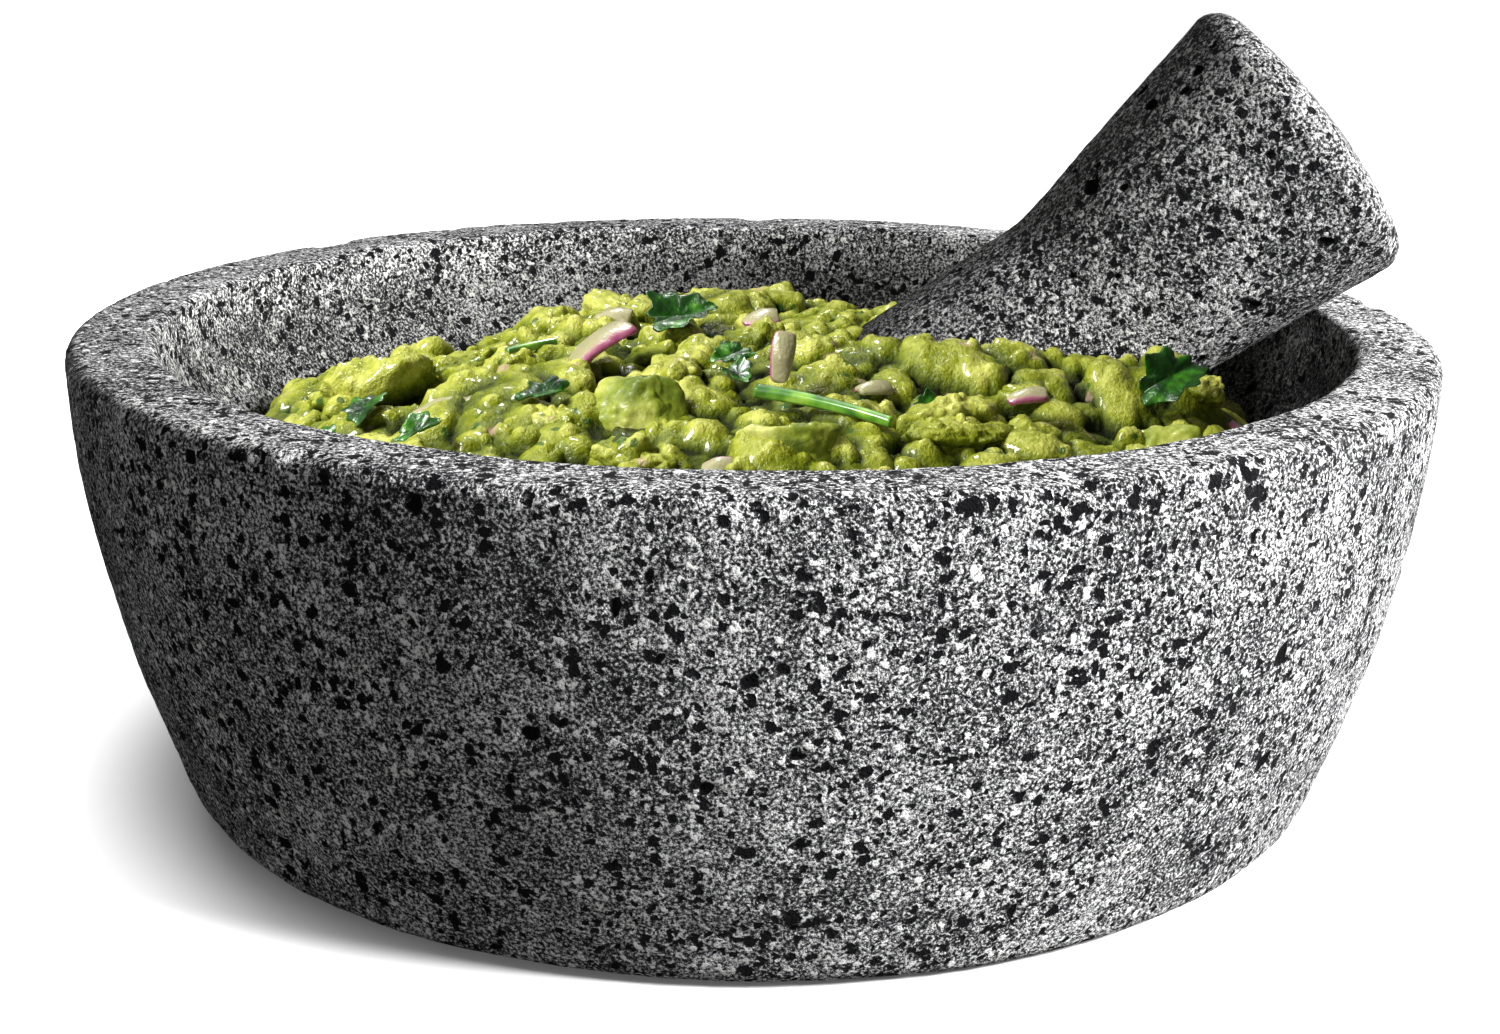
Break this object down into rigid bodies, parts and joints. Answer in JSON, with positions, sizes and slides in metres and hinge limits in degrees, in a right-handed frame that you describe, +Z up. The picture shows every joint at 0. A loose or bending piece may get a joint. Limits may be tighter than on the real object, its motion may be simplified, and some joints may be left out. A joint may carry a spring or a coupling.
{
  "type": "mortar and pestle",
  "caption": "Round carved-basalt mortar bowl with a flat foot and a thick flat rim, filled with chunky guacamole, and a waisted basalt pestle leaning in it.",
  "frame": {"origin": "centre of the bowl's flat foot, on the surface that it stands on", "axes": "+Z up along the bowl's axis, -Y towards the viewer, the tejolote leans towards +X"},
  "size_m": [0.216, 0.216, 0.1201],
  "materials": {
    "bowl_basalt": "rough carved vesicular basalt, dark grey with light mineral specks and open black pores",
    "tejolote_basalt": "rough carved vesicular basalt, grey with light mineral specks and open black pores",
    "guacamole_paste": "wet coarse avocado paste",
    "avocado_flesh": "wet soft avocado flesh",
    "red_onion": "wet translucent red onion, white with a purple-pink skin side",
    "cilantro_leaf": "wet dark green leaf",
    "cilantro_stem": "wet bright green stem"
  },
  "bodies": {
    "bowl": {"bowl": "bowl_basalt"},
    "filling": {"avocado_block_front": "avocado_flesh", "avocado_brown_right": "avocado_flesh", "avocado_corner_right": "avocado_flesh", "avocado_dome_left": "avocado_flesh", "avocado_knob_back": "avocado_flesh", "avocado_knob_right": "avocado_flesh", "avocado_ridge": "avocado_flesh", "avocado_slab_front": "avocado_flesh", "avocado_tan_back": "avocado_flesh", "avocado_wet_front": "avocado_flesh", "cilantro_leaf_crown": "cilantro_leaf", "cilantro_leaf_dark_middle": "cilantro_leaf", "cilantro_leaf_large_right": "cilantro_leaf", "cilantro_leaf_left": "cilantro_leaf", "cilantro_leaf_left_rim": "cilantro_leaf", "cilantro_leaf_left_small": "cilantro_leaf", "cilantro_leaf_middle": "cilantro_leaf", "cilantro_leaf_right": "cilantro_leaf", "cilantro_leaf_under_onion": "cilantro_leaf", "cilantro_stem_long": "cilantro_stem", "cilantro_stem_short": "cilantro_stem", "guacamole": "guacamole_paste", "onion_dice_back": "red_onion", "onion_dice_top": "red_onion", "onion_pale_left": "red_onion", "onion_pink_edge": "red_onion", "onion_pink_middle": "red_onion", "onion_pink_ridge": "red_onion", "onion_purple_front": "red_onion", "onion_sliver_long": "red_onion", "onion_standing": "red_onion"},
    "tejolote": {"tejolote": "tejolote_basalt"}
  },
  "joints": [
    {"name": "stir", "type": "hinge", "parent": "bowl", "child": "filling", "pos_m": [0, 0, 0], "axis": [0, 0, 1], "continuous": true},
    {"name": "lift_out", "type": "slide", "parent": "filling", "child": "tejolote", "axis": [0.7466, 0, 0.6652], "range_m": [0, 0.12]}
  ]
}
